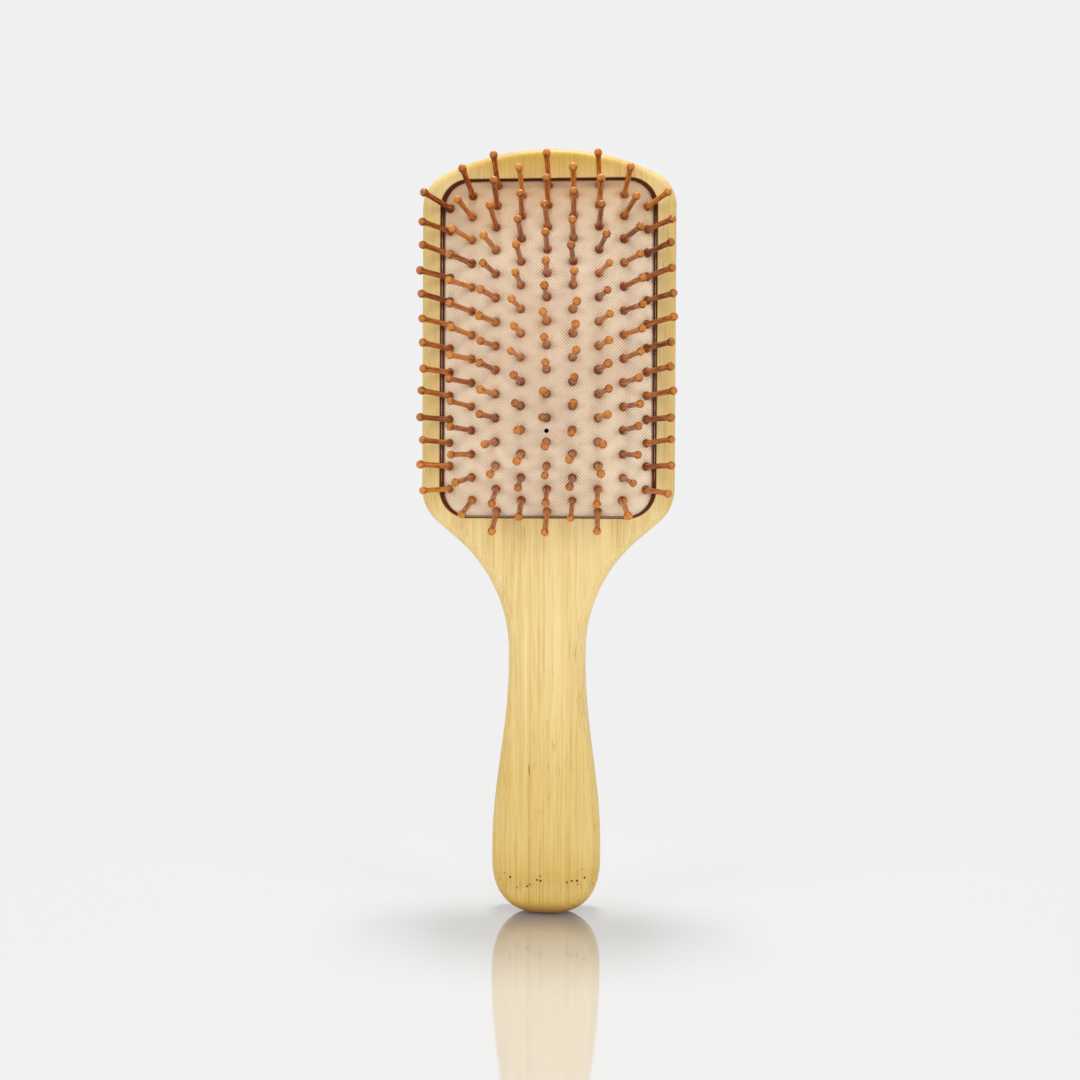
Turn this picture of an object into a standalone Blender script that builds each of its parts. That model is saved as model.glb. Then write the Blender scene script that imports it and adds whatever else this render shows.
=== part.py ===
"""Paddle brush: a bamboo paddle, a domed rubber cushion in its pocket, and wooden ball-tipped pins.

Frame: +Z runs from the handle up to the head, the pins point to -Y, and the flat back faces +Y.
The origin is the middle of the hand's grip, half way through the handle's thickness.
"""

import math

import bmesh
import bpy
import numpy as np
from mathutils import Matrix, Vector

# Paddle: one board of bamboo. Heights in this block are above the handle's end.
LENGTH = 0.250
GRIP_HEIGHT = 0.052
BOARD = 0.014
EDGE_ROUND = 0.003
EDGE_STEPS = 3
END_LENGTH = 0.0193
END_POWER = 2.54
GRIP_HALF = 0.0178
BELLY_HEIGHT = 0.0210
NECK_HALF = 0.0126
NECK_HEIGHT = 0.0827
FLARE_HEIGHT = 0.0861
FLARE_RADIUS = 0.0486
FLARE_TURN = 49.6
SHOULDER_RADIUS = 0.0148
HEAD_HALF = 0.04135
CORNER_RADIUS = 0.0118
CROWN_RADIUS = 0.079

# Pocket routed into the front of the head
FRONT = -BOARD / 2
POCKET_DEPTH = 0.0085
POCKET_HALF_X = 0.0351
POCKET_HALF_Z = 0.0548
POCKET_CORNER = 0.0092
POCKET_HEIGHT = 0.1849
HEAD_MIDDLE = POCKET_HEIGHT - GRIP_HEIGHT

# Cushion: a rubber dome on a skirt that stands on the pocket's floor
GAP = 0.0003
CUSHION_SINK = 0.0013
CUSHION_HALF_X = 0.0340
CUSHION_HALF_Z = 0.0544
CUSHION_CORNER = 0.0084
RUBBER = 0.0016
DOME = 0.0090
DOME_POWER = 3.5
FALL_X = 0.020
FALL_Z = 0.0175
RING_SCALES = (1.0, 0.93, 0.84, 0.73, 0.58, 0.4, 0.2)
EDGE_Y = FRONT + CUSHION_SINK
VENT_BELOW_MIDDLE = 0.0272
VENT_RADIUS = 0.0008

# Pins, laid out on the curved face of the cushion in staggered columns
COLUMN_PITCH = 0.00829
ROW_PITCH = 0.00767
COLUMN_COUNTS = (13, 14, 15, 14, 15, 14, 15, 14, 13)
END_GROUP = 4
PIN_SIDES = 6
PIN_LENGTH = 0.0160
BALL_RADIUS = 0.00134
SHAFT_RADIUS = 0.00085
FOOT_RADIUS = 0.00145
FOOT_LENGTH = 0.0012
NECK_RADIUS = 0.0008
HOLE_RADIUS = 0.00165
CARRIER_DROP = 0.00275
CARRIER_WIDTH = 0.0018
CARRIER_THICKNESS = 0.0010
CARRIER_END = 0.0009

MERGE = 0.00001


# ---------------------------------------------------------------- scene and materials

def clear_scene():
    for obj in list(bpy.data.objects):
        bpy.data.objects.remove(obj, do_unlink=True)


def collection(name):
    made = bpy.data.collections.new(name)
    bpy.context.scene.collection.children.link(made)
    return made


def material(name, colour, roughness):
    made = bpy.data.materials.new(name)
    made.use_nodes = True
    shader = made.node_tree.nodes["Principled BSDF"]
    shader.inputs["Base Color"].default_value = (*colour, 1.0)
    shader.inputs["Roughness"].default_value = roughness
    shader.inputs["Metallic"].default_value = 0.0
    return made


def add_object(name, mesh, group, finish=None):
    obj = bpy.data.objects.new(name, mesh)
    group.objects.link(obj)
    if finish:
        mesh.materials.append(finish)
    return obj


def hide_tool(obj):
    """Keep a cutter or a joined shape out of the finished model."""
    obj.hide_render = True
    obj.display_type = "WIRE"


def add_boolean(obj, operation, tool):
    modifier = obj.modifiers.new(operation.title(), "BOOLEAN")
    modifier.operation = operation
    modifier.solver = "EXACT"
    modifier.object = tool


def evaluated_mesh(obj):
    """The mesh that an object's curve or modifiers make, welded, with flat areas as one face."""
    made = bpy.data.meshes.new_from_object(obj.evaluated_get(bpy.context.evaluated_depsgraph_get()))
    bm = bmesh.new()
    bm.from_mesh(made)
    bmesh.ops.remove_doubles(bm, verts=bm.verts, dist=MERGE)
    bmesh.ops.dissolve_limit(bm, angle_limit=math.radians(0.2), verts=bm.verts, edges=bm.edges)
    bm.to_mesh(made)
    bm.free()
    return made


# ---------------------------------------------------------------- outlines

def arc(centre_x, centre_z, radius, start, end, steps):
    """Points of an arc, with its angles in degrees from +X towards +Z."""
    turns = np.radians(np.linspace(start, end, steps + 1))
    return [(centre_x + radius * math.cos(t), centre_z + radius * math.sin(t)) for t in turns]


def handle_end():
    """The rounded end of the handle, a quarter of a superellipse."""
    points = []
    for turn in np.radians(np.linspace(90, 0, 9)):
        across = max(math.cos(turn), 0.0) ** (2 / END_POWER)
        below = max(math.sin(turn), 0.0) ** (2 / END_POWER)
        points.append((GRIP_HALF * across, END_LENGTH * (1 - below)))
    return points


def handle_side():
    """From the belly of the grip in to the neck, half a cosine wave."""
    points = []
    for share in np.linspace(0, 1, 11):
        width = NECK_HALF + (GRIP_HALF - NECK_HALF) * (1 + math.cos(math.pi * share)) / 2
        points.append((width, BELLY_HEIGHT + (NECK_HEIGHT - BELLY_HEIGHT) * share))
    return points


def head_side():
    """The flare, the straight shoulder, the head's side and its crown."""
    flare = arc(NECK_HALF + FLARE_RADIUS, FLARE_HEIGHT, FLARE_RADIUS, 180, 180 - FLARE_TURN, 8)
    slope = math.radians(FLARE_TURN)
    shoulder_x = HEAD_HALF - SHOULDER_RADIUS
    end_x, end_z = flare[-1]
    reach = end_x * math.cos(slope) - end_z * math.sin(slope) - SHOULDER_RADIUS
    shoulder_z = (shoulder_x * math.cos(slope) - reach) / math.sin(slope)
    shoulder = arc(shoulder_x, shoulder_z, SHOULDER_RADIUS, -FLARE_TURN, 0, 5)
    corner_x = HEAD_HALF - CORNER_RADIUS
    rise = math.sqrt((CROWN_RADIUS - CORNER_RADIUS) ** 2 - corner_x**2)
    meet = math.degrees(math.atan2(rise, corner_x))
    corner = arc(corner_x, LENGTH - CROWN_RADIUS + rise, CORNER_RADIUS, 0, meet, 6)
    crown = arc(0, LENGTH - CROWN_RADIUS, CROWN_RADIUS, meet, 90, 6)
    return flare + shoulder + corner + crown[1:]


def paddle_outline():
    half = [(x, z - GRIP_HEIGHT) for x, z in handle_end() + handle_side() + head_side()]
    return half + [(-x, z) for x, z in half[-2:0:-1]]


def rounded_rectangle(half_x, half_z, radius, corner_steps, steps_x, steps_z):
    """A closed outline round the middle of the head, evenly divided along each straight side."""
    x, z = half_x - radius, half_z - radius
    corners = [(x, -z, -90), (x, z, 0), (-x, z, 90), (-x, -z, 180)]
    points = []
    for number, (centre_x, centre_z, start) in enumerate(corners):
        points += arc(centre_x, centre_z, radius, start, start + 90, corner_steps)
        steps = (steps_z, steps_x)[number % 2]
        after = corners[(number + 1) % 4]
        last, first = points[-1], arc(after[0], after[1], radius, after[2], after[2], 0)[0]
        for share in np.linspace(0, 1, steps + 1)[1:-1]:
            points.append((last[0] + (first[0] - last[0]) * share, last[1] + (first[1] - last[1]) * share))
    return points


def plate(name, outline, front, back, group, finish=None):
    """A flat outline in X and Z, given its thickness from front to back along Y."""
    curve = bpy.data.curves.new(name + "_outline", "CURVE")
    curve.dimensions = "2D"
    curve.fill_mode = "BOTH"
    curve.extrude = (back - front) / 2
    spline = curve.splines.new("POLY")
    spline.points.add(len(outline) - 1)
    for point, (x, z) in zip(spline.points, outline):
        point.co = (x, z, 0.0, 1.0)
    spline.use_cyclic_u = True
    guide = add_object(name + "_outline", curve, group)
    guide.location = (0, (front + back) / 2, 0)
    guide.rotation_euler = (math.pi / 2, 0, 0)
    bpy.context.view_layer.update()
    obj = add_object(name, evaluated_mesh(guide), group, finish)
    obj.matrix_world = guide.matrix_world
    bpy.data.objects.remove(guide, do_unlink=True)
    return obj


# ---------------------------------------------------------------- the cushion's curved face

def fall(offset, half, length):
    """0 in the middle and 1 at the edge: flat in the middle, and steeper towards the edge."""
    return (np.cosh(offset / length) - 1) / (math.cosh(half / length) - 1)


def fall_slope(offset, half, length):
    return math.sinh(offset / length) / length / (math.cosh(half / length) - 1)


def fall_shares(x, z):
    """How far the face has fallen across, along, and in all, the two joined as in a rounded square."""
    across = fall(x, CUSHION_HALF_X, FALL_X)
    along = fall(z, CUSHION_HALF_Z, FALL_Z)
    return across, along, max((across**DOME_POWER + along**DOME_POWER) ** (1 / DOME_POWER), 1e-9)


def face_point(x, z):
    """The point of the cushion's outer face at x and z from the middle of the head."""
    height = DOME * (1 - fall_shares(x, z)[2])
    return Vector((x, EDGE_Y - height, HEAD_MIDDLE + z))


def face_normal(x, z):
    across, along, both = fall_shares(x, z)
    slope_x = DOME * (across / both) ** (DOME_POWER - 1) * fall_slope(x, CUSHION_HALF_X, FALL_X)
    slope_z = DOME * (along / both) ** (DOME_POWER - 1) * fall_slope(z, CUSHION_HALF_Z, FALL_Z)
    return Vector((slope_x, -1.0, slope_z)).normalized()


def at_arc_length(length, half, bend):
    """How far from the middle a point lies that is this far away along the curved face."""
    offsets = np.linspace(0, half, 400)
    steps = np.hypot(np.diff(offsets), DOME * np.diff(fall(offsets, half, bend)))
    lengths = np.concatenate([[0], np.cumsum(steps)])
    return math.copysign(float(np.interp(abs(length), lengths, offsets)), length)


# ---------------------------------------------------------------- pins

def pin_places(column):
    """The x and z of every pin in a column, from the top of the head down."""
    middle = (len(COLUMN_COUNTS) - 1) / 2
    x = at_arc_length((column - middle) * COLUMN_PITCH, CUSHION_HALF_X, FALL_X)
    count = COLUMN_COUNTS[column]
    rows = [((count - 1) / 2 - row) * ROW_PITCH for row in range(count)]
    return [(x, at_arc_length(row, CUSHION_HALF_Z, FALL_Z)) for row in rows]


def pin_groups():
    """Each column's top, middle and lower pins, as (name, places)."""
    groups = []
    for column in range(len(COLUMN_COUNTS)):
        places = pin_places(column)
        top, lower = places[:END_GROUP], places[-END_GROUP:]
        parts = {"top": top, "middle": places[END_GROUP:-END_GROUP], "lower": lower}
        groups += [(f"pins_column{column + 1}_{part}", chosen) for part, chosen in parts.items()]
    return groups


def tilt_axis(places):
    """The middle and the direction of the line that a group of pins tilts about."""
    first, last = face_point(*places[-1]), face_point(*places[0])
    return (first + last) / 2, (last - first).normalized()


def pin_mesh():
    """One turned pin along +Z, with z = 0 on the face of the rubber."""
    ball = PIN_LENGTH - BALL_RADIUS
    drop = math.sqrt(BALL_RADIUS**2 - SHAFT_RADIUS**2)
    profile = [
        (0, PIN_LENGTH),
        (BALL_RADIUS, ball),
        (SHAFT_RADIUS, ball - drop),
        (SHAFT_RADIUS, GAP + FOOT_LENGTH),
        (FOOT_RADIUS, GAP),
        (NECK_RADIUS, GAP),
        (NECK_RADIUS, -CARRIER_DROP),
        (0, -CARRIER_DROP),
    ]
    mesh = bpy.data.meshes.new("pin_profile")
    mesh.from_pydata([(r, 0, z) for r, z in profile], [(i, i + 1) for i in range(len(profile) - 1)], [])
    obj = add_object("pin_profile", mesh, bpy.context.scene.collection)
    turn = obj.modifiers.new("Turn", "SCREW")
    turn.axis = "Z"
    turn.steps = turn.render_steps = PIN_SIDES
    turn.use_merge_vertices = True
    turn.merge_threshold = MERGE
    bpy.context.view_layer.update()
    turned = evaluated_mesh(obj)
    bpy.data.objects.remove(obj, do_unlink=True)
    return turned


def pin_matrix(x, z):
    return Matrix.LocRotScale(face_point(x, z), face_normal(x, z).to_track_quat("Z", "Y"), None)


def carrier_mesh(name, places):
    """A ribbon under the rubber, through the lower ends of a group's pins."""
    along = tilt_axis(places)[1]
    middles = [face_point(*p) - face_normal(*p) * CARRIER_DROP for p in places]
    middles[0] += (middles[0] - middles[1]).normalized() * CARRIER_END
    middles[-1] += (middles[-1] - middles[-2]).normalized() * CARRIER_END
    rim = []
    for middle, place in zip(middles, places):
        side = along.cross(face_normal(*place)).normalized() * CARRIER_WIDTH / 2
        rim += [middle - side, middle + side]
    faces = [(2 * i, 2 * i + 1, 2 * i + 3, 2 * i + 2) for i in range(len(places) - 1)]
    mesh = bpy.data.meshes.new(name)
    mesh.from_pydata(rim, [], faces)
    return mesh


def add_pin_group(name, places, pin, parts, tools, finish):
    """A group's pins in one object, joined by their carrier, with its origin on the tilt axis."""
    middle, along = tilt_axis(places)
    frame = Matrix.LocRotScale(middle, along.to_track_quat("Z", "Y"), None)
    bm = bmesh.new()
    for place in places:
        start = len(bm.verts)
        bm.from_mesh(pin)
        bm.verts.ensure_lookup_table()
        bmesh.ops.transform(bm, matrix=frame.inverted() @ pin_matrix(*place), verts=bm.verts[start:])
    mesh = bpy.data.meshes.new(name)
    bm.to_mesh(mesh)
    bm.free()
    mesh.shade_smooth()
    mesh.set_sharp_from_angle(angle=math.radians(50))
    group = add_object(name, mesh, parts, finish)
    group.matrix_world = frame
    carrier = add_object(name + "_carrier", carrier_mesh(name + "_carrier", places), tools)
    thicken = carrier.modifiers.new("Thickness", "SOLIDIFY")
    thicken.thickness = CARRIER_THICKNESS
    thicken.offset = 0
    hide_tool(carrier)
    add_boolean(group, "UNION", carrier)
    return group


# ---------------------------------------------------------------- paddle and cushion

def add_paddle(parts, tools, finish):
    paddle = plate("paddle_body", paddle_outline(), FRONT, BOARD / 2, parts, finish)
    bevel = paddle.modifiers.new("Rounded edge", "BEVEL")
    bevel.width = EDGE_ROUND
    bevel.segments = EDGE_STEPS
    bevel.limit_method = "ANGLE"
    bevel.angle_limit = math.radians(60)
    opening = rounded_rectangle(POCKET_HALF_X, POCKET_HALF_Z, POCKET_CORNER, 5, 1, 1)
    opening = [(x, HEAD_MIDDLE + z) for x, z in opening]
    pocket = plate("pocket", opening, FRONT - BOARD / 2, FRONT + POCKET_DEPTH, tools)
    hide_tool(pocket)
    add_boolean(paddle, "DIFFERENCE", pocket)
    return paddle


def cushion_mesh():
    """The open outer face: the skirt's wall, then rings that step in over the dome to its middle."""
    outline = rounded_rectangle(CUSHION_HALF_X, CUSHION_HALF_Z, CUSHION_CORNER, 3, 8, 12)
    foot_y = FRONT + POCKET_DEPTH - GAP
    points = [(x, foot_y, HEAD_MIDDLE + z) for x, z in outline]
    for scale in RING_SCALES:
        points += [face_point(x * scale, z * scale) for x, z in outline]
    count = len(outline)
    faces = []
    for ring in range(len(RING_SCALES)):
        low, high = ring * count, (ring + 1) * count
        faces += [(low + i, low + (i + 1) % count, high + (i + 1) % count, high + i) for i in range(count)]
    last = len(RING_SCALES) * count
    points.append(face_point(0, 0))
    faces += [(last + i, last + (i + 1) % count, len(points) - 1) for i in range(count)]
    mesh = bpy.data.meshes.new("cushion")
    mesh.from_pydata([Vector(p) - Vector((0, EDGE_Y, HEAD_MIDDLE)) for p in points], [], faces)
    bm = bmesh.new()
    bm.from_mesh(mesh)
    bmesh.ops.recalc_face_normals(bm, faces=bm.faces)
    bm.to_mesh(mesh)
    bm.free()
    mesh.shade_smooth()
    mesh.set_sharp_from_angle(angle=math.radians(40))
    return mesh


def holes_mesh():
    """A four-sided plug where each pin passes the rubber, and a six-sided one for the air vent."""
    bm = bmesh.new()
    depth = RUBBER * 3
    for column in range(len(COLUMN_COUNTS)):
        for place in pin_places(column):
            bmesh.ops.create_cone(bm, cap_ends=True, segments=4, radius1=HOLE_RADIUS, radius2=HOLE_RADIUS,
                                  depth=depth, matrix=pin_matrix(*place))
    vent = pin_matrix(0, -VENT_BELOW_MIDDLE)
    bmesh.ops.create_cone(bm, cap_ends=True, segments=6, radius1=VENT_RADIUS, radius2=VENT_RADIUS,
                          depth=depth, matrix=vent)
    mesh = bpy.data.meshes.new("pin_holes")
    bm.to_mesh(mesh)
    bm.free()
    return mesh


def add_cushion(parts, tools, finish):
    cushion = add_object("cushion", cushion_mesh(), parts, finish)
    cushion.location = (0, EDGE_Y, HEAD_MIDDLE)
    thicken = cushion.modifiers.new("Rubber", "SOLIDIFY")
    thicken.thickness = RUBBER
    thicken.offset = -1
    thicken.use_even_offset = True
    holes = add_object("pin_holes", holes_mesh(), tools)
    hide_tool(holes)
    add_boolean(cushion, "DIFFERENCE", holes)
    return cushion


def hang_on(child, parent):
    """Parent a piece where it stands."""
    bpy.context.view_layer.update()
    child.parent = parent
    child.matrix_parent_inverse = parent.matrix_world.inverted()


def build():
    clear_scene()
    parts = collection("paddle_brush")
    tools = collection("cutters")
    paddle = add_paddle(parts, tools, material("bamboo", (0.80, 0.60, 0.26), 0.45))
    cushion = add_cushion(parts, tools, material("cushion_rubber", (0.76, 0.58, 0.45), 0.75))
    hang_on(cushion, paddle)
    pin = pin_mesh()
    wood = material("pin_wood", (0.42, 0.11, 0.015), 0.4)
    for name, places in pin_groups():
        hang_on(add_pin_group(name, places, pin, parts, tools, wood), cushion)
    bpy.data.meshes.remove(pin)


build()
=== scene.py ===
import math

import bmesh
import bpy
import numpy as np
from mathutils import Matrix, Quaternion, Vector


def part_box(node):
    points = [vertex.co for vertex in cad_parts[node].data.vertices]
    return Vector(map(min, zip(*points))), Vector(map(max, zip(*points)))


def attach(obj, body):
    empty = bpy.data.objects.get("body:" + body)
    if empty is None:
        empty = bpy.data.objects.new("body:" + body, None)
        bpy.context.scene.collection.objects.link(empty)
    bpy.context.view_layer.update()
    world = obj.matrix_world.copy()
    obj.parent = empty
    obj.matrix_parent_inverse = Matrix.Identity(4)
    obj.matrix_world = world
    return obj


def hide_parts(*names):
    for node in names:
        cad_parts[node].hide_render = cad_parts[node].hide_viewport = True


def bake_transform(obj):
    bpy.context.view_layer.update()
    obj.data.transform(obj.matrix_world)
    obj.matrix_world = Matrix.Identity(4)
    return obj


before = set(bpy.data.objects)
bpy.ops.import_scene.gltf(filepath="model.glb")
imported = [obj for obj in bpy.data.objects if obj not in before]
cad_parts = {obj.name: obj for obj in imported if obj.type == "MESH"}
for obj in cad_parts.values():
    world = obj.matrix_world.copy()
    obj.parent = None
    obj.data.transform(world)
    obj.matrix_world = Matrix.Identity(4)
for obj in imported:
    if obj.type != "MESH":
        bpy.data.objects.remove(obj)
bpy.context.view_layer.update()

paddleLow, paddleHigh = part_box("paddle_body")
print("frame loaded:", len(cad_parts), "nodes")


cameraLook = dict(
    place=(0.0209, -0.3944, 0.0765), turn=0.0597, tip=0.0146, roll=0.0050, lens=39.82, sensor=36.0,
    near=0.01, far=20.0)


def addCamera(look):
    # looks along +Y, turned to the left and tipped down by these angles in radians
    data = bpy.data.cameras.new("camera")
    data.lens, data.sensor_width = look["lens"], look["sensor"]
    data.clip_start, data.clip_end = look["near"], look["far"]
    camera = bpy.data.objects.new("camera", data)
    bpy.context.scene.collection.objects.link(camera)
    camera.location = look["place"]
    ahead = Vector((-math.sin(look["turn"]), math.cos(look["turn"]), -math.tan(look["tip"])))
    camera.rotation_mode = "QUATERNION"
    camera.rotation_quaternion = ahead.to_track_quat("-Z", "Y") @ Quaternion((0, 0, 1), look["roll"])
    bpy.context.scene.camera = camera


# only the lamp above is mirrored: the low softboxes would show in the floor
lampAim = (0.0, 0.0, 0.09)
lampLook = dict(
    left=dict(place=(-1.60, -1.30, 0.50), size=(0.9, 1.3), power=16.4, mirrored=False,
              colour=(1.0, 0.985, 0.96)),
    right=dict(place=(1.70, -1.10, 0.45), size=(0.7, 1.3), power=14.4, mirrored=False,
               colour=(1.0, 0.99, 0.975)),
    front=dict(place=(0.35, -2.10, 0.65), size=(0.8, 0.8), power=9.8, mirrored=False,
               colour=(1.0, 0.99, 0.97)),
    above=dict(place=(0.0, 0.10, 1.55), size=(0.3, 0.3), power=18.5, mirrored=True,
               colour=(1.0, 1.0, 1.0)))


def addLamps(lamps, aim):
    for name, lamp in lamps.items():
        data = bpy.data.lights.new(name + "Softbox", "AREA")
        data.shape = "RECTANGLE"
        data.size, data.size_y = lamp["size"]
        data.energy, data.color = lamp["power"], lamp["colour"]
        box = bpy.data.objects.new(name + "Softbox", data)
        bpy.context.scene.collection.objects.link(box)
        box.location = lamp["place"]
        box.rotation_euler = (Vector(aim) - Vector(lamp["place"])).to_track_quat("-Z", "Y").to_euler()
        box.visible_camera = False
        box.visible_glossy = lamp["mirrored"]


roomLook = dict(fill=0.41, seen=0.876)


def addRoomLight(look):
    # an even room: it lights the brush less brightly than it is seen behind it and mirrored in it
    world = bpy.data.worlds.new("paleRoom")
    bpy.context.scene.world = world
    world.use_nodes = True
    nodes, links = world.node_tree.nodes, world.node_tree.links
    nodes.clear()
    rays = nodes.new("ShaderNodeLightPath")
    direct = nodes.new("ShaderNodeMath")
    direct.operation = "MAXIMUM"
    mix = nodes.new("ShaderNodeMixShader")
    out = nodes.new("ShaderNodeOutputWorld")
    links.new(rays.outputs["Is Camera Ray"], direct.inputs[0])
    links.new(rays.outputs["Is Glossy Ray"], direct.inputs[1])
    links.new(direct.outputs[0], mix.inputs[0])
    for slot, strength in ((1, look["fill"]), (2, look["seen"])):
        backdrop = nodes.new("ShaderNodeBackground")
        backdrop.inputs["Color"].default_value = (1, 1, 1, 1)
        backdrop.inputs["Strength"].default_value = strength
        links.new(backdrop.outputs[0], mix.inputs[slot])
    links.new(mix.outputs[0], out.inputs["Surface"])


class Value:
    # a number that varies over a surface: sums on it add Math nodes
    def __init__(self, paint, socket):
        self.paint, self.socket = paint, socket

    def __add__(self, other):
        return self.paint.maths("ADD", self, other)

    def __radd__(self, other):
        return self.paint.maths("ADD", other, self)

    def __sub__(self, other):
        return self.paint.maths("SUBTRACT", self, other)

    def __rsub__(self, other):
        return self.paint.maths("SUBTRACT", other, self)

    def __mul__(self, other):
        return self.paint.maths("MULTIPLY", self, other)

    def __rmul__(self, other):
        return self.paint.maths("MULTIPLY", other, self)

    def __truediv__(self, other):
        return self.paint.maths("DIVIDE", self, other)

    def __pow__(self, other):
        return self.paint.maths("POWER", self, other)


class Paint:
    # one material and the nodes that make it
    def __init__(self, name, **fixed):
        self.material = bpy.data.materials.new(name)
        self.material.use_nodes = True
        self.tree = self.material.node_tree
        self.shader = self.tree.nodes["Principled BSDF"]
        for socket, value in fixed.items():
            self.shader.inputs[socket.replace("_", " ")].default_value = value

    def add(self, kind, settings, inputs, output=0):
        # a node with its settings made first, then its sockets' values or links
        node = self.tree.nodes.new(kind)
        stops = settings.pop("stops", None)
        for name, value in settings.items():
            setattr(node, name, value)
        for number, (place, colour) in enumerate(stops or []):
            ramp = node.color_ramp.elements
            step = ramp[number] if number < 2 else ramp.new(place)
            step.position, step.color = place, (*colour, 1.0)
        for name, value in inputs.items():
            self.feed(node.inputs[name], value)
        return Value(self, node.outputs[output])

    def feed(self, socket, value):
        if isinstance(value, Value):
            self.tree.links.new(value.socket, socket)
        elif socket.type == "RGBA" and len(value) == 3:
            socket.default_value = (*value, 1.0)
        else:
            socket.default_value = value

    def maths(self, operation, first, second=0.0):
        return self.add("ShaderNodeMath", {"operation": operation}, {0: first, 1: second})

    def place(self):
        return self.add("ShaderNodeTexCoord", {}, {}, "Object")

    def split(self, vector, axes):
        return [self.add("ShaderNodeSeparateXYZ", {}, {0: vector}, axis) for axis in axes]

    def join(self, x, y, z):
        return self.add("ShaderNodeCombineXYZ", {}, {0: x, 1: y, 2: z})

    def stretched(self, vector, perMetre):
        return self.add("ShaderNodeMapping", {}, {"Vector": vector, "Scale": perMetre})

    def noise(self, vector, detail=2.0, roughness=0.5):
        return self.add("ShaderNodeTexNoise", {},
                        {"Vector": vector, "Scale": 1.0, "Detail": detail, "Roughness": roughness})

    def chance(self, number):
        return self.add("ShaderNodeTexWhiteNoise", {"noise_dimensions": "1D"}, {"W": number})

    def attribute(self, name):
        return self.add("ShaderNodeAttribute", {"attribute_name": name}, {}, "Fac")

    def smooth(self, value, low, high):
        return self.add("ShaderNodeMapRange", {"interpolation_type": "SMOOTHSTEP"},
                        {"Value": value, "From Min": low, "From Max": high})

    def ramp(self, value, *stops):
        # the first two stops are the ramp's outer ones
        return self.add("ShaderNodeValToRGB", {"stops": stops}, {0: value})

    def mix(self, share, first, second, blend="MIX"):
        # the Mix node's colours are its inputs 6 and 7 and its output 2
        return self.add("ShaderNodeMix", {"data_type": "RGBA", "blend_type": blend},
                        {0: share, 6: first, 7: second}, 2)

    def finish(self, colour, roughness, height, depth, strength=1.0):
        normal = self.add("ShaderNodeBump", {}, {"Height": height, "Distance": depth, "Strength": strength})
        self.feed(self.shader.inputs["Base Color"], colour)
        self.feed(self.shader.inputs["Roughness"], roughness)
        self.feed(self.shader.inputs["Normal"], normal)
        return self.material


def addPiece(name, points, faces, finish, body, marks=None, recalculate=True):
    # marks are numbers for each point, which the finish reads by name
    mesh = bpy.data.meshes.new(name)
    mesh.from_pydata(points.tolist(), [], [list(face) for face in faces])
    for key, values in (marks or {}).items():
        made = mesh.attributes.new(key, "FLOAT", "POINT")
        made.data.foreach_set("value", np.ascontiguousarray(values, dtype=np.float32).ravel())
    mesh.materials.append(finish)
    if recalculate:
        loose = bmesh.new()
        loose.from_mesh(mesh)
        bmesh.ops.recalc_face_normals(loose, faces=loose.faces)
        loose.to_mesh(mesh)
        loose.free()
    mesh.shade_smooth()
    piece = bpy.data.objects.new(name, mesh)
    bpy.context.scene.collection.objects.link(piece)
    if body:
        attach(piece, body)
    return piece


def ringFaces(rings, count, first=0):
    # quads between rings of count points each, every ring closed on itself
    starts = first + np.arange(rings - 1)[:, None] * count
    here = starts + np.arange(count)
    after = starts + (np.arange(count) + 1) % count
    return np.stack([here, after, after + count, here + count], axis=-1).reshape(-1, 4).tolist()


def evenly(line, count):
    # a closed line of points put at even steps of its own length, starting from its first point
    closed = np.vstack([line, line[:1]])
    lengths = np.concatenate([[0], np.cumsum(np.hypot(*np.diff(closed, axis=0).T))])
    steps = np.linspace(0, lengths[-1], count, endpoint=False)
    return np.stack([np.interp(steps, lengths, closed[:, axis]) for axis in (0, 1)], axis=-1)


def outward(line):
    # unit normals of a closed line that runs anticlockwise: its direction turned by a quarter
    ahead = np.roll(line, -1, axis=0) - np.roll(line, 1, axis=0)
    ahead /= np.linalg.norm(ahead, axis=1, keepdims=True)
    return np.stack([ahead[:, 1], -ahead[:, 0]], axis=-1)


def arc(centreX, centreZ, radius, start, end, count=160):
    # radius times cosine and sine of angles from start to end, in degrees, about the centre
    turn = np.radians(np.linspace(start, end, count))
    return np.stack([centreX + radius * np.cos(turn), centreZ + radius * np.sin(turn)], axis=-1)


def roundedOblong(halfX, halfZ, radius, count):
    # four quarter circles joined by straight sides
    x, z = halfX - radius, halfZ - radius
    corners = ((x, -z, -90), (x, z, 0), (-x, z, 90), (-x, -z, 180))
    return evenly(np.vstack([arc(cx, cz, radius, start, start + 90) for cx, cz, start in corners]), count)


paddle = dict(
    length=0.250, end=0.0193, endPower=2.54, grip=0.0178, belly=0.0210, neck=0.0126, neckHeight=0.0827,
    flareHeight=0.0861, flareRadius=0.0486, flareTurn=49.6, shoulder=0.0148, head=0.04135, corner=0.0118,
    crown=0.079, roundHead=0.0030, roundHandle=0.0042, roundFrom=0.135, roundOver=0.045, flatInset=1.15,
    points=800, steps=8,
    pocketX=0.0351, pocketZ=0.0549, pocketCorner=0.0092, pocketHeight=0.1849, pocketDepth=0.0085,
    pocketPoints=320, lip=0.00028, lipBend=(0, 0.08, 0.29, 0.62, 1), ledge=0.0012, ledgeX=0.03412,
    ledgeZ=0.05470, floorShare=0.9)

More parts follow.
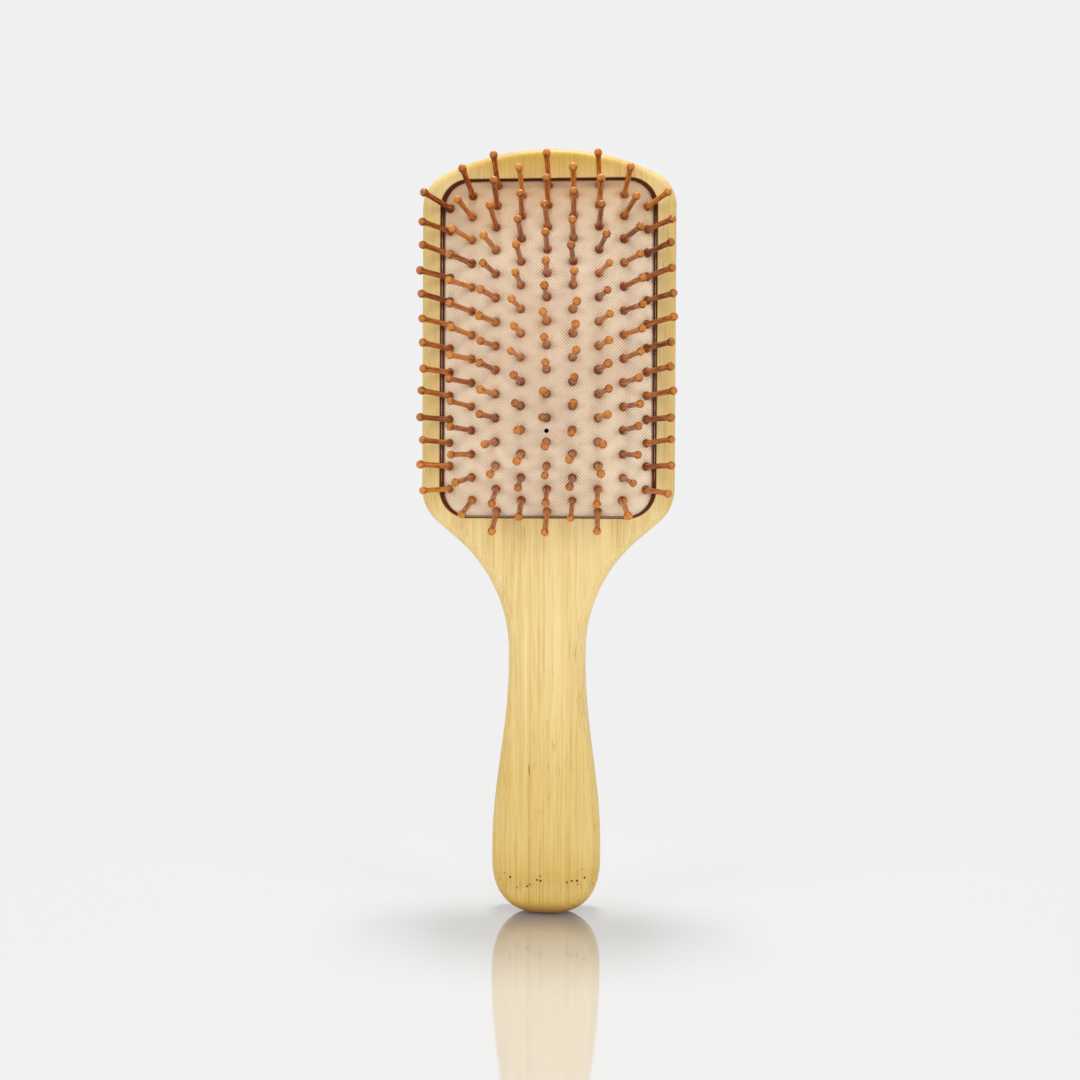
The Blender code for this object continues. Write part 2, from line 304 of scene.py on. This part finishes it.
bamboo = dict(
    pale=(0.845, 0.67, 0.325), middle=(0.79, 0.595, 0.26), deep=(0.64, 0.42, 0.13), vein=(0.34, 0.155, 0.04),
    golden=(0.72, 0.585, 0.18), toasted=(0.135, 0.032, 0.006), endShadeBrown=(0.30, 0.115, 0.035),
    broadGrain=(380, 380, 7), fineGrain=(1500, 1500, 22), hairGrain=(4200, 4200, 90), wander=0.0008,
    strip=0.0052, veinGrain=(2600, 2600, 130), veinPatch=(75, 75, 22), nodeHeight=0.0125, nodeStep=0.002,
    nodeCell=430, roughness=0.48, grainDepth=0.00007)


def paddleOutline(look):
    # half the outline from the handle's end to the crown, mirrored: a quarter of a superellipse,
    # half a cosine wave down to the neck, then tangent arcs for the flare, shoulder, corner and crown
    turn = np.radians(np.linspace(90, 0, 200))
    across = look["grip"] * np.clip(np.cos(turn), 0, 1) ** (2 / look["endPower"])
    end = np.stack([across, look["end"] * (1 - np.sin(turn) ** (2 / look["endPower"]))], axis=-1)
    share = np.linspace(0, 1, 200)
    width = look["neck"] + (look["grip"] - look["neck"]) * (1 + np.cos(np.pi * share)) / 2
    side = np.stack([width, look["belly"] + (look["neckHeight"] - look["belly"]) * share], axis=-1)
    slope = math.radians(look["flareTurn"])
    flare = arc(look["neck"] + look["flareRadius"], look["flareHeight"], look["flareRadius"], 180,
                180 - look["flareTurn"])
    shoulderX = look["head"] - look["shoulder"]
    reach = flare[-1, 0] * math.cos(slope) - flare[-1, 1] * math.sin(slope) - look["shoulder"]
    shoulderZ = (shoulderX * math.cos(slope) - reach) / math.sin(slope)
    shoulder = arc(shoulderX, shoulderZ, look["shoulder"], -look["flareTurn"], 0)
    cornerX, crownZ = look["head"] - look["corner"], look["length"] - look["crown"]
    rise = math.sqrt((look["crown"] - look["corner"]) ** 2 - cornerX**2)
    meet = math.degrees(math.atan2(rise, cornerX))
    corner = arc(cornerX, crownZ + rise, look["corner"], 0, meet)
    crown = arc(0, crownZ, look["crown"], meet, 90)
    half = np.vstack([end, side, flare, shoulder, corner, crown])
    half[:, 1] += paddleLow[2]
    other = half[-2:0:-1] * (-1, 1)
    return evenly(np.vstack([half, other]), look["points"])


def walkBack(first, last, start, count):
    # a ring's point numbers from first down to last, past the ring's start if need be
    steps = np.arange((first - last) % count + 1)
    return (start + (first - start - steps) % count).tolist()


def paddleMesh(look):
    # outer wall: the outline carried round a profile of two quarter circles, with a radius that grows
    # down the handle. Pocket: an oblong carried over a small lip, down a slope, a wall and its floor.
    # The handle's end is the outline's first point and the crown its middle one
    line = paddleOutline(look)
    normals = outward(line)
    front, back = paddleLow[1], paddleHigh[1]
    height = line[:, 1] - paddleLow[2]
    share = np.clip((look["roundFrom"] - height) / look["roundOver"], 0, 1)
    radius = look["roundHead"] + (look["roundHandle"] - look["roundHead"]) * share**2 * (3 - 2 * share)
    turn = np.linspace(0, np.pi / 2, look["steps"] + 1)
    flat = [look["flatInset"]]
    inset = np.concatenate([flat, 1 - np.sin(turn), 1 - np.cos(turn), flat])
    depth = np.concatenate([[0], 1 - np.cos(turn), -(1 - np.sin(turn)), [0]])
    base = np.concatenate([[front] * (look["steps"] + 2), [back] * (look["steps"] + 2)])
    rim = line[None] - normals[None] * (inset[:, None] * radius[None])[..., None]
    y = base[:, None] + depth[:, None] * radius[None]
    outer = np.stack([rim[..., 0], y, rim[..., 1]], axis=-1).reshape(-1, 3)
    count, rings = look["points"], len(inset)
    faces = ringFaces(rings, count)

    hole = roundedOblong(look["pocketX"], look["pocketZ"], look["pocketCorner"], look["pocketPoints"])
    holeNormals = outward(hole)
    ledge = roundedOblong(look["ledgeX"], look["ledgeZ"], look["pocketCorner"], look["pocketPoints"])
    ledge[:, 1] += paddleLow[2] + look["pocketHeight"]
    hole[:, 1] += paddleLow[2] + look["pocketHeight"]
    bend = np.array(look["lipBend"]) * look["lip"]
    grow = np.concatenate([[look["lip"] * 2], bend[::-1]])[:, None, None]
    lower = [ledge, ledge, ledge * (look["floorShare"], 1)]
    wall = np.concatenate([hole[None] + holeNormals[None] * grow, lower])
    down = np.concatenate([[0], bend, [look["ledge"], look["pocketDepth"], look["pocketDepth"]]])
    drop = np.broadcast_to(front + down[:, None], wall.shape[:2])
    inner = np.stack([wall[..., 0], drop, wall[..., 1]], axis=-1).reshape(-1, 3)
    start = len(outer)
    holeCount = look["pocketPoints"]
    faces += ringFaces(len(down), holeCount, start)
    # marks for the pocket's lip, wall and floor: dark toasted brown, partly real toasting and partly painted
    # shade in the groove
    toastAndShadeRings = [0, 0.1, 0.5, 0.9, 1, 1, 1, 1, 1]
    toastAndShade = np.concatenate([np.zeros(start), np.repeat(toastAndShadeRings, holeCount)])

    # flat areas: the back and the pocket's floor are one face each, and the front is two halves
    lastRing = (rings - 1) * count
    faces.append(list(range(lastRing, lastRing + count)))
    faces.append(list(range(len(outer) + len(inner) - holeCount, len(outer) + len(inner))))
    top = count // 2
    holeTop = start + int(np.argmax(hole[:, 1] - np.abs(hole[:, 0]) * 10))
    holeLow = start + int(np.argmin(hole[:, 1] + np.abs(hole[:, 0]) * 10))
    right = list(range(top + 1)) + walkBack(holeTop, holeLow, start, holeCount)
    left = list(range(top, count)) + [0] + walkBack(holeLow, holeTop, start, holeCount)
    faces += [right, left]
    return np.vstack([outer, inner]), faces, {"toastAndShade": toastAndShade}


def bambooFinish(look):
    paint = Paint("oiledBamboo", Specular_IOR_Level=0.32)
    place = paint.place()
    x, z = paint.split(place, "XZ")
    up = z - paddleLow[2]
    broad = paint.noise(paint.stretched(place, look["broadGrain"]), 2.0)
    fine = paint.noise(paint.stretched(place, look["fineGrain"]), 3.0, 0.6)
    hair = paint.noise(paint.stretched(place, look["hairGrain"]), 2.0)
    wander = paint.noise(paint.stretched(place, (60, 60, 9)), 1.0) * look["wander"]
    strip = paint.chance(paint.maths("FLOOR", (x + wander) / look["strip"]))
    tone = broad * 0.22 + fine * 0.40 + strip * 0.06 + hair * 0.36 - 0.04
    colour = paint.ramp(tone, (0.30, look["deep"]), (0.58, look["pale"]), (0.46, look["middle"]))

    # the handle is a warmer gold, more so towards its end; the rounded end that faces the floor and the
    # crown's rounded rim are made darker gold as painted shade
    grip = (1 - paint.smooth(up, 0.040, 0.090)) * 0.42 + (1 - paint.smooth(up, 0.014, 0.026)) * 0.16
    # painted shade on the rounded end that faces the floor
    low = (1 - paint.smooth(up, 0.001, 0.009)) * 0.35
    # painted shade on the crown's rounded rim, which faces up away from the side lamps
    high = paint.smooth(up, 0.236, 0.2475) * 0.85
    side = paint.smooth(paint.maths("ABSOLUTE", x), 0.0345, 0.0405) * paint.smooth(up, 0.115, 0.135)
    rim = side * (0.14 + fine * 0.46)
    colour = paint.mix(grip + low + high + rim * (1 - high), colour, look["golden"], "MULTIPLY")
    # painted shade: the last few millimetres of the handle's rounded end are mixed towards dark brown
    endShade = (1 - paint.smooth(up, 0.0005, 0.0055)) * 0.9
    colour = paint.mix(endShade, colour, look["endShadeBrown"])

    # short brown veins, thicker in patches
    patch = paint.smooth(paint.noise(paint.stretched(place, look["veinPatch"]), 1.0), 0.42, 0.62)
    patch = patch + (1 - paint.smooth(up, 0.010, 0.022)) * 0.6 + side * 0.6
    vein = paint.smooth(paint.noise(paint.stretched(place, look["veinGrain"]), 1.0), 0.66, 0.74) * patch
    colour = paint.mix(vein * 0.62, colour, look["vein"])

    # the node: a band of small brown pores across the handle, uneven from strip to strip
    height = up - look["nodeHeight"] - (strip - 0.5) * look["nodeStep"]
    band = 1 - paint.smooth(paint.maths("ABSOLUTE", height), 0.0014, 0.0034)
    cells = paint.stretched(place, (look["nodeCell"],) * 3)
    pores = paint.add("ShaderNodeTexVoronoi", {}, {"Vector": cells, "Scale": 1.0, "Randomness": 1.0})
    pore = (1 - paint.smooth(pores, 0.12, 0.22)) * band
    colour = paint.mix(band * 0.16, colour, look["golden"], "MULTIPLY")
    colour = paint.mix(pore, colour, look["toasted"])

    # the pocket's rim, wall and floor are a dark toasted brown: partly the wood's real toasting, partly
    # painted shade in the groove
    toastAndShade = paint.attribute("toastAndShade")
    colour = paint.mix(toastAndShade, colour, look["toasted"])
    roughness = look["roughness"] + (fine - 0.5) * 0.22 + toastAndShade * 0.45
    grain = fine * 0.6 + hair * 0.25 - vein * 0.5 - pore * 0.8
    return paint.finish(colour, roughness, grain, look["grainDepth"], 0.6)


def addPaddle(look, finish):
    points, faces, marks = paddleMesh(look)
    piece = addPiece("bambooPaddle", points, faces, finish, "paddle", marks)
    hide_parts("paddle_body")
    print("paddle:", len(piece.data.polygons), "faces")


cushion = dict(
    halfX=0.0340, halfZ=0.0544, corner=0.0084, sink=0.0013, dome=0.0090, fallX=0.020, fallZ=0.0175,
    power=3.5, edge=0.0005, edgeStart=32.0, edgeSteps=5, skirtMiddle=0.0040, skirt=0.0068, moveFrom=0.0007,
    wall=0.0011, columns=121, rows=193, crowding=0.38, dimple=0.00032, dimpleWidth=0.0018,
    ventBelow=0.0272, ventRadius=0.00078)

rubber = dict(
    lower=(0.99, 0.845, 0.645), upper=(0.60, 0.41, 0.23), shade=(0.56, 0.33, 0.17), pitch=0.00074,
    ribShare=0.80, mottle=260, speck=2500, cloud=45, roughness=0.72, ribDepth=0.00010)

pins = dict(
    columnPitch=0.00829, rowPitch=0.00767, counts=(13, 14, 15, 14, 15, 14, 15, 14, 13), endGroup=4,
    length=0.0160, ball=0.00134, stub=0.0014, sunk=0.7, sides=12, lean=0.026, leanLimit=1.2,
    steadyFrom=0.050, lengthSpread=0.018, thicknessSpread=0.035, seed=11)

middleZ = paddleLow[2] + paddle["pocketHeight"]
edgeY = paddleLow[1] + cushion["sink"]


def fallAway(offset, half, fall):
    # 0 in the middle and 1 at the edge: the share of a hyperbolic cosine's rise
    return (np.cosh(offset / fall) - 1) / (math.cosh(half / fall) - 1)


def fallSlope(offset, half, fall):
    # the slope of fallAway: a hyperbolic sine
    return np.sinh(offset / fall) / fall / (math.cosh(half / fall) - 1)


def domeShares(x, z):
    # how far the face has fallen across, along, and in all: the two joined as on a rounded square
    across = fallAway(x, cushion["halfX"], cushion["fallX"])
    along = fallAway(z, cushion["halfZ"], cushion["fallZ"])
    power = cushion["power"]
    return across, along, np.maximum((across**power + along**power) ** (1 / power), 1e-9)


def domeHeight(x, z):
    # how far the face stands before its edge
    return cushion["dome"] * (1 - domeShares(x, z)[2])


def domeNormal(x, z):
    # the outward normal is one forward, and each slope of the dome sideways
    across, along, both = domeShares(x, z)
    power = cushion["power"] - 1
    slopeX = (across / both) ** power * fallSlope(x, cushion["halfX"], cushion["fallX"])
    slopeZ = (along / both) ** power * fallSlope(z, cushion["halfZ"], cushion["fallZ"])
    normal = np.stack([cushion["dome"] * slopeX, -np.ones_like(slopeX), cushion["dome"] * slopeZ], axis=-1)
    return normal / np.linalg.norm(normal, axis=-1, keepdims=True)


def atArcLength(lengths, half, fall):
    # offsets from the middle of points that lie this far along the curved face
    offsets = np.linspace(0, half, 400)
    heights = cushion["dome"] * (1 - fallAway(offsets, half, fall))
    run = np.concatenate([[0], np.cumsum(np.hypot(np.diff(offsets), np.diff(heights)))])
    return np.sign(lengths) * np.interp(np.abs(lengths), run, offsets)


def pinPlaces(look):
    # x and z of each column's pins, from the top of the head down, in staggered rows
    middle = (len(look["counts"]) - 1) / 2
    columns = []
    for column, count in enumerate(look["counts"]):
        across = np.full(count, (column - middle) * look["columnPitch"])
        along = ((count - 1) / 2 - np.arange(count)) * look["rowPitch"]
        x = atArcLength(across, cushion["halfX"], cushion["fallX"])
        z = atArcLength(along, cushion["halfZ"], cushion["fallZ"])
        columns.append(np.stack([x, z], axis=-1))
    return columns


def cushionMesh(look, feet):
    # a grid of rows, closer at both ends and each as wide as the rounded oblong is there, raised by the
    # dome and drawn in round each foot by a small bell curve. Rings turn over its edge and down the skirt
    shrink = look["edge"] * (1 - math.sin(math.radians(look["edgeStart"])))
    halfX, halfZ, corner = look["halfX"] - shrink, look["halfZ"] - shrink, look["corner"] - shrink
    v = np.linspace(-1, 1, look["rows"])
    z = halfZ * ((1 - look["crowding"]) * v + look["crowding"] * np.sin(np.pi * v / 2))
    into = np.clip(np.abs(z) - (halfZ - corner), 0, corner)
    width = halfX - corner + np.sqrt(corner**2 - into**2)
    u = np.linspace(-1, 1, look["columns"])
    gridX = width[:, None] * u[None]
    gridZ = np.broadcast_to(z[:, None], gridX.shape).copy()
    away = (gridX[..., None] - feet[:, 0]) ** 2 + (gridZ[..., None] - feet[:, 1]) ** 2
    bell = np.exp(-away / (2 * look["dimpleWidth"] ** 2)).sum(axis=-1)
    gridY = edgeY - domeHeight(gridX, gridZ) + look["dimple"] * np.clip(bell, 0, 1)
    numbers = np.arange(gridX.size).reshape(gridX.shape)
    quads = np.stack([numbers[:-1, :-1], numbers[:-1, 1:], numbers[1:, 1:], numbers[1:, :-1]], axis=-1)

    # the vent: a block of cells left out, and its rim moved onto a circle
    row = int(np.argmin(np.abs(z + look["ventBelow"])))
    column = look["columns"] // 2
    keep = np.ones(quads.shape[:2], bool)
    keep[row - 1:row + 1, column - 1:column + 1] = False
    rimRow = np.array([-1, -1, -1, 0, 1, 1, 1, 0]) + row
    rimColumn = np.array([-1, 0, 1, 1, 1, 0, -1, -1]) + column
    dx, dz = gridX[rimRow, rimColumn], gridZ[rimRow, rimColumn] - z[row]
    scale = look["ventRadius"] / np.hypot(dx, dz)
    gridX[rimRow, rimColumn], gridZ[rimRow, rimColumn] = dx * scale, z[row] + dz * scale

    edge = np.concatenate([numbers[0, :-1], numbers[:-1, -1], numbers[-1, :0:-1], numbers[:0:-1, 0]])
    rimLine = np.stack([gridX.ravel()[edge], gridZ.ravel()[edge]], axis=-1)
    normals = outward(rimLine)
    start = math.radians(look["edgeStart"])
    turn = np.linspace(start, np.pi / 2, look["edgeSteps"] + 1)[1:]
    skirtDown = [look["skirtMiddle"], look["skirt"]]
    out = np.concatenate([look["edge"] * (np.sin(turn) - math.sin(start)), [shrink, shrink]])
    down = np.concatenate([look["edge"] * (math.cos(start) - np.cos(turn)), skirtDown])
    rings = rimLine[None] + normals[None] * out[:, None, None]
    rimY = gridY.ravel()[edge]
    ringY = np.stack([rimY] * len(turn) + [np.full_like(rimY, edgeY)] * len(skirtDown)) + down[:, None]
    skirt = np.stack([rings[..., 0], ringY, rings[..., 1]], axis=-1)
    grid = np.stack([gridX, gridY, gridZ], axis=-1).reshape(-1, 3)
    points = np.vstack([grid, skirt.reshape(-1, 3)])
    points[:, 2] += middleZ
    faces = quads[keep].reshape(-1, 4).tolist()
    ring = gridX.size + np.arange(len(edge))
    faces += np.stack([edge, np.roll(edge, -1), np.roll(ring, -1), ring], axis=-1).tolist()
    faces += ringFaces(len(out), len(edge), gridX.size)
    # the bell round each foot is kept as a mark for the painted shade round the feet
    footShadeMask = np.concatenate([bell.ravel(), np.zeros(len(points) - gridX.size)])
    return points, faces, {"footShadeMask": np.clip(footShadeMask, 0, 1)}


def rubberFinish(look):
    paint = Paint("ribbedRubber", Sheen_Weight=0.25, Sheen_Roughness=0.5)
    place = paint.place()
    x, z = paint.split(place, "XZ")

    # two sets of diagonal ribs, sines of x + z and x - z, each stronger where the other is weaker
    turnsPerMetre = 2 * math.pi / (look["pitch"] * math.sqrt(2))
    rising = paint.maths("SINE", (x + z) * turnsPerMetre) * 0.5 + 0.5
    falling = paint.maths("SINE", (x - z) * turnsPerMetre) * 0.5 + 0.5
    cloud = paint.noise(paint.stretched(place, (look["cloud"],) * 3), 1.0)
    lean = paint.smooth(cloud + paint.smooth(x, -0.024, 0.0) * 0.30, 0.45, 0.75)
    rib = rising * (0.85 - 0.45 * lean) + falling * (0.35 + 0.45 * lean)

    # paler in the middle and a little browner along the bottom edge; browner towards the crown as painted
    # shade with the pins' warm bounce light, and darkest in the ribs and, as painted shade, round the feet
    height = z - middleZ
    # painted shade and warm bounce light: the upper part, among the crowded pins, is browner
    high = paint.smooth(height, 0.024, 0.056)
    low = 1 - paint.smooth(height, -0.052, -0.034)
    warmth = high + low * 0.2 + (cloud - 0.5) * 0.6
    colour = paint.mix(paint.maths("MAXIMUM", warmth), look["lower"], look["upper"])
    mottle = paint.noise(paint.stretched(place, (look["mottle"],) * 3), 3.0)
    speck = paint.noise(paint.stretched(place, (look["speck"],) * 3), 2.0)
    # painted shade round each pin's foot, stronger towards the crown
    footShade = paint.attribute("footShadeMask") * mottle * (0.9 + high * 0.9)
    share = rib * look["ribShare"] + (mottle - 0.5) * 0.7 + (speck - 0.5) * 0.4 + footShade - 0.38
    colour = paint.mix(paint.maths("MAXIMUM", share), colour, look["shade"])
    roughness = look["roughness"] + (mottle - 0.5) * 0.2
    return paint.finish(colour, roughness, rib * -0.6 + speck * 0.3, look["ribDepth"], 0.7)


def addCushion(look, feet, finish):
    points, faces, marks = cushionMesh(look, feet)
    piece = addPiece("domedCushion", points, faces, finish, None, marks, False)
    mesh = piece.data
    if mesh.polygons[0].normal.y > 0:
        mesh.flip_normals()
    wall = piece.modifiers.new("rubberWall", "SOLIDIFY")
    wall.thickness, wall.offset, wall.use_even_offset = look["wall"], -1, False
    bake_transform(piece)
    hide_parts("cushion")
    print("cushion:", len(mesh.polygons), "faces")
    return piece


pinWood = dict(
    middle=(0.44, 0.100, 0.008), pale=(0.70, 0.26, 0.035), deep=(0.15, 0.024, 0.002),
    cap=(0.68, 0.28, 0.05), roughness=0.32, grainDepth=0.00005)


def pinProfile(look):
    # radius against height: a stub in the rubber, a flared foot, a slim shaft and most of a circle
    stub = [(0.00050, -look["stub"]), (0.00078, -0.0010), (0.00080, -0.0002)]
    foot = [(0.00128, -0.0001), (0.00146, 0.0002), (0.00140, 0.0006), (0.00112, 0.0012), (0.00091, 0.0019)]
    shaft = [(0.00085, 0.0034), (0.00085, 0.0070), (0.00086, 0.0108), (0.00090, 0.0127)]
    turn = np.radians([-38, -14, 12, 38, 62, 80])
    centre = look["length"] - look["ball"]
    ball = np.stack([look["ball"] * np.cos(turn), centre + look["ball"] * np.sin(turn)], axis=-1)
    return np.vstack([stub, foot, shaft, ball])


def pinPoints(look, places, chance):
    # every pin: its profile turned about its axis, which is the rubber's normal plus a little lean,
    # then its tip and its root. The marks are height, place round the pin and the pin's own tone
    count, sides = len(places), look["sides"]
    foot = edgeY - domeHeight(places[:, 0], places[:, 1]) + cushion["dimple"] * look["sunk"]
    base = np.stack([places[:, 0], foot, places[:, 1] + middleZ], axis=-1)
    tilt = np.clip(chance.normal(0, 1, (count, 3)), -look["leanLimit"], look["leanLimit"]) * look["lean"]
    tilt[:, 2] *= np.abs(places[:, 1]) < look["steadyFrom"]  # the outer rows stay clear of the pocket's rim
    axis = domeNormal(places[:, 0], places[:, 1]) + tilt
    axis /= np.linalg.norm(axis, axis=1, keepdims=True)
    sideways = np.cross(axis, (0.0, 0.0, 1.0))
    sideways /= np.linalg.norm(sideways, axis=1, keepdims=True)
    upward = np.cross(sideways, axis)
    profile = pinProfile(look)
    stretch = 1 + chance.normal(0, look["lengthSpread"], count)
    thickness = 1 + chance.normal(0, look["thicknessSpread"], count)
    begin = chance.uniform(0, 2 * np.pi, count)
    turn = begin[:, None] + np.linspace(0, 2 * np.pi, sides, endpoint=False)[None]
    spoke = np.cos(turn)[..., None] * sideways[:, None] + np.sin(turn)[..., None] * upward[:, None]
    radius = profile[:, 0][None, :, None, None] * thickness[:, None, None, None]
    height = (profile[:, 1][None] * stretch[:, None])[:, :, None, None]
    rings = base[:, None, None] + axis[:, None, None] * height + spoke[:, None] * radius
    tip = base + axis * (look["length"] * stretch)[:, None]
    root = base - axis * look["stub"]
    points = np.concatenate([rings.reshape(count, -1, 3), tip[:, None], root[:, None]], axis=1)

    along = np.append(np.repeat(profile[:, 1] / look["length"], sides), [1, -look["stub"] / look["length"]])
    grain = np.append(np.tile(np.arange(sides) / sides, len(profile)), [0.5, 0.5])
    tone = np.repeat(chance.normal(0, 1, count), len(along))
    marks = {"along": np.tile(along, count), "grain": np.tile(grain, count), "tone": tone}
    return points.reshape(-1, 3), marks


def pinFaces(look, count):
    # one pin's bands, its cap at the tip and its end at the root, repeated for each pin
    rings, sides = len(pinProfile(look)), look["sides"]
    number, last = np.arange(sides), (rings - 1) * sides
    after = (number + 1) % sides
    tip = rings * sides
    cap = np.stack([last + number, last + after, np.full(sides, tip)], axis=-1)
    end = np.stack([after, number, np.full(sides, tip + 1)], axis=-1)
    starts = np.arange(count)[:, None, None] * (tip + 2)
    parts = (np.array(ringFaces(rings, sides)), cap, end)
    return sum(((part[None] + starts).reshape(-1, part.shape[1]).tolist() for part in parts), [])


def addPinGroup(name, look, places, chance, finish):
    points, marks = pinPoints(look, places, chance)
    faces = pinFaces(look, len(places))
    piece = addPiece(name.replace("pins_", "turnedPins_"), points, faces, finish, name, marks)
    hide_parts(name)
    return len(faces)


def pinFinish(look):
    # the fibres are noise on a small cylinder, cosine and sine of the place round the pin and its height,
    # moved on for each pin by its tone
    paint = Paint("lacqueredPinWood", Specular_IOR_Level=0.22, Coat_Weight=0.25, Coat_Roughness=0.12)
    along, grain, tone = paint.attribute("along"), paint.attribute("grain"), paint.attribute("tone")
    angle = grain * (2 * math.pi)
    across, outwards = paint.maths("COSINE", angle), paint.maths("SINE", angle)
    fibre = paint.noise(paint.join(across * 1.6 + tone * 9.0, outwards * 1.6, along * 3.2), 3.0, 0.6)
    streak = paint.noise(paint.join(across * 4.0 + tone * 5.0, outwards * 4.0, along * 5.0), 2.0)
    shade = fibre * 1.3 + streak * 0.8 + tone * 0.08 - 0.56
    colour = paint.ramp(shade, (0.26, look["deep"]), (0.68, look["pale"]), (0.47, look["middle"]))
    # darker at the foot: partly a stain, partly painted shade where the pin meets the rubber
    foot = 1 - paint.smooth(along, 0.02, 0.17)
    # painted shade: a darker ring round the ball's sides
    side = paint.smooth(along, 0.80, 0.86) * (1 - paint.smooth(along, 0.90, 0.97))
    colour = paint.mix(foot * 0.6 + side * 0.45, colour, look["deep"])
    # painted highlight: a golden cap on top of the ball
    colour = paint.mix(paint.smooth(along, 0.93, 0.99) * 0.4, colour, look["cap"])
    roughness = look["roughness"] + (streak - 0.5) * 0.25
    return paint.finish(colour, roughness, fibre + streak * 0.5, look["grainDepth"], 0.5)


def addPins(look, columns, finish):
    chance = np.random.default_rng(look["seed"])
    faces = 0
    for number, places in enumerate(columns):
        cut = look["endGroup"]
        parts = {"top": places[:cut], "middle": places[cut:-cut], "lower": places[-cut:]}
        for part, chosen in parts.items():
            faces += addPinGroup(f"pins_column{number + 1}_{part}", look, chosen, chance, finish)
    print("pins:", sum(len(places) for places in columns), "in", faces, "faces")


floorLook = dict(
    radius=1.2, innermost=0.02, rings=24, spokes=96, gap=0.0003, fadeFrom=0.16, fadeTo=0.42,
    colour=(0.785, 0.785, 0.785), polish=0.45, roughness=0.06)


def addFloor(look):
    # a disc of rings and spokes just under the handle's end, that fades into the room at its edge
    rings, spokes = look["rings"], look["spokes"]
    reach = np.linspace(look["innermost"], 1, rings)[:, None] ** 1.5 * look["radius"]
    turn = np.linspace(0, 2 * np.pi, spokes, endpoint=False)
    level = np.full((rings, spokes), paddleLow[2] - look["gap"])
    points = np.stack([reach * np.cos(turn), reach * np.sin(turn), level], axis=-1).reshape(-1, 3)
    faces = ringFaces(rings, spokes) + [list(range(spokes))]
    paint = Paint("paleFloor")
    x, y = paint.split(paint.place(), "XY")
    away = (x * x + y * y) ** 0.5
    paint.feed(paint.shader.inputs["Base Color"], look["colour"])
    paint.feed(paint.shader.inputs["Metallic"], look["polish"])
    paint.feed(paint.shader.inputs["Roughness"], look["roughness"])
    paint.feed(paint.shader.inputs["Alpha"], 1 - paint.smooth(away, look["fadeFrom"], look["fadeTo"]))
    floor = addPiece("paleFloor", points, faces, paint.material, None)
    if floor.data.polygons[0].normal.z < 0:
        floor.data.flip_normals()


bpy.context.scene.view_settings.view_transform = "Standard"
addCamera(cameraLook)
addLamps(lampLook, lampAim)
addRoomLight(roomLook)
addFloor(floorLook)
print("camera, lights and floor placed")

addPaddle(paddle, bambooFinish(bamboo))
pinColumns = pinPlaces(pins)
cushionPiece = addCushion(cushion, np.vstack(pinColumns), rubberFinish(rubber))
addPins(pins, pinColumns, pinFinish(pinWood))
